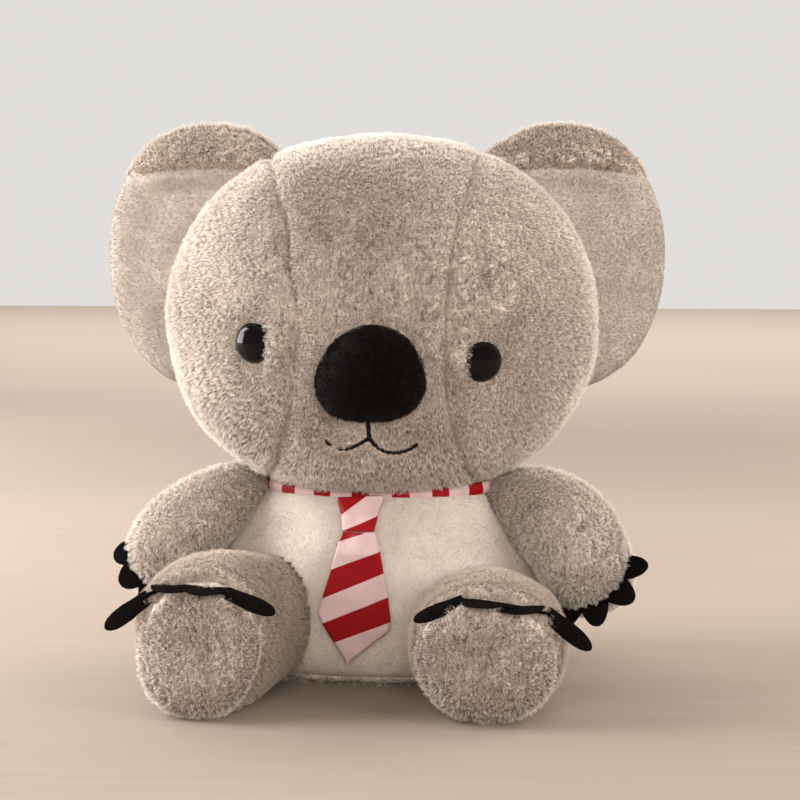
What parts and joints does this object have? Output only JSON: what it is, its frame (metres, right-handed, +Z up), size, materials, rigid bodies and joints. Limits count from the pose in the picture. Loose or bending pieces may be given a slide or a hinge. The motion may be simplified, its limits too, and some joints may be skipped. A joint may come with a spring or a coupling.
{
  "type": "plush koala",
  "caption": "Seated soft toy koala with a large round head, broad ears, short stuffed arms and legs, felt claws and a striped ribbon tie.",
  "frame": {"origin": "centre of the flat underside that the toy sits on, under the middle of the body", "axes": "+Z up, the body faces -Y, +X towards the koala's left arm"},
  "size_m": [0.4726, 0.3469, 0.448],
  "materials": {
    "fur_grey": "short grey-beige plush, uneven clumped pile",
    "fur_white": "smooth short off-white plush",
    "fur_sole": "darker long-pile plush",
    "fur_base": "grey plush",
    "stuffing": "loose polyester fibre",
    "eye_black": "glossy black domed safety eye",
    "washer_white": "plain moulded washer",
    "nose_black": "matte black short plush",
    "thread_black": "thick stitched thread",
    "felt_dark": "dark cut felt",
    "ribbon_band": "red and white striped ribbon",
    "ribbon_tie": "red and white striped satin"
  },
  "bodies": {
    "torso": {"torso_belly_panel": "fur_white", "torso_back_panel": "fur_grey", "torso_base_panel": "fur_base", "torso_stuffing": "stuffing", "neck_band": "ribbon_band", "tie_knot": "ribbon_tie"},
    "tie": {"tie_blade": "ribbon_tie"},
    "neck": {"neck_stuffing": "stuffing"},
    "head": {"head_side_panel_r": "fur_grey", "head_front_panel": "fur_grey", "head_side_panel_l": "fur_grey", "head_back_panel": "fur_grey", "head_stuffing": "stuffing", "eye_r": "eye_black", "eye_washer_r": "washer_white", "eye_l": "eye_black", "eye_washer_l": "washer_white", "nose_cover": "nose_black", "nose_stuffing": "stuffing", "mouth_stitching": "thread_black"},
    "ear_l": {"ear_inner_l": "fur_white", "ear_back_l": "fur_grey", "ear_stuffing_l": "stuffing"},
    "ear_r": {"ear_inner_r": "fur_white", "ear_back_r": "fur_grey", "ear_stuffing_r": "stuffing"},
    "arm_l": {"arm_front_panel_l": "fur_grey", "arm_back_panel_l": "fur_grey", "arm_stuffing_l": "stuffing", "arm_claws_l": "felt_dark"},
    "arm_r": {"arm_front_panel_r": "fur_grey", "arm_back_panel_r": "fur_grey", "arm_stuffing_r": "stuffing", "arm_claws_r": "felt_dark"},
    "leg_l": {"leg_upper_panel_l": "fur_grey", "foot_sole_panel_l": "fur_sole", "leg_stuffing_l": "stuffing", "foot_claws_l": "felt_dark"},
    "leg_r": {"leg_upper_panel_r": "fur_grey", "foot_sole_panel_r": "fur_sole", "leg_stuffing_r": "stuffing", "foot_claws_r": "felt_dark"}
  },
  "joints": [
    {"name": "neck_turn", "type": "hinge", "parent": "torso", "child": "neck", "pos_m": [0, -0.005, 0.135], "axis": [0, 0, 1], "range_deg": [-15, 15], "stiffness_Nm_per_rad": 3},
    {"name": "head_nod", "type": "hinge", "parent": "neck", "child": "head", "pos_m": [0, -0.005, 0.135], "axis": [0.9976, 0.0698, 0], "range_deg": [-8, 4], "stiffness_Nm_per_rad": 10},
    {"name": "ear_fold_l", "type": "hinge", "parent": "head", "child": "ear_l", "pos_m": [0.09479, 0.01566, 0.433], "axis": [0.2971, 0.1493, -0.9431], "range_deg": [-14, 14], "stiffness_Nm_per_rad": 0.6},
    {"name": "ear_fold_r", "type": "hinge", "parent": "head", "child": "ear_r", "pos_m": [-0.09674, 0.00227, 0.433], "axis": [-0.3149, 0.1065, -0.9431], "range_deg": [-14, 14], "stiffness_Nm_per_rad": 0.6},
    {"name": "arm_raise_l", "type": "hinge", "parent": "torso", "child": "arm_l", "pos_m": [0.113, -0.022, 0.127], "axis": [-0.7132, -0.7009, 0], "range_deg": [0, 25], "stiffness_Nm_per_rad": 0.15},
    {"name": "arm_raise_r", "type": "hinge", "parent": "torso", "child": "arm_r", "pos_m": [-0.113, -0.022, 0.127], "axis": [-0.7132, 0.7009, 0], "range_deg": [0, 25], "stiffness_Nm_per_rad": 0.15},
    {"name": "leg_lift_l", "type": "hinge", "parent": "torso", "child": "leg_l", "pos_m": [0.084, -0.058, 0.04902], "axis": [-0.9938, -0.1108, 0], "range_deg": [0, 12], "stiffness_Nm_per_rad": 0.3},
    {"name": "leg_lift_r", "type": "hinge", "parent": "torso", "child": "leg_r", "pos_m": [-0.084, -0.058, 0.05387], "axis": [-0.9824, 0.1867, 0], "range_deg": [0, 12], "stiffness_Nm_per_rad": 0.3},
    {"name": "tie_swing", "type": "hinge", "parent": "torso", "child": "tie", "pos_m": [-0.0095, -0.104, 0.1245], "axis": [-1, 0, 0], "range_deg": [0, 60]}
  ]
}
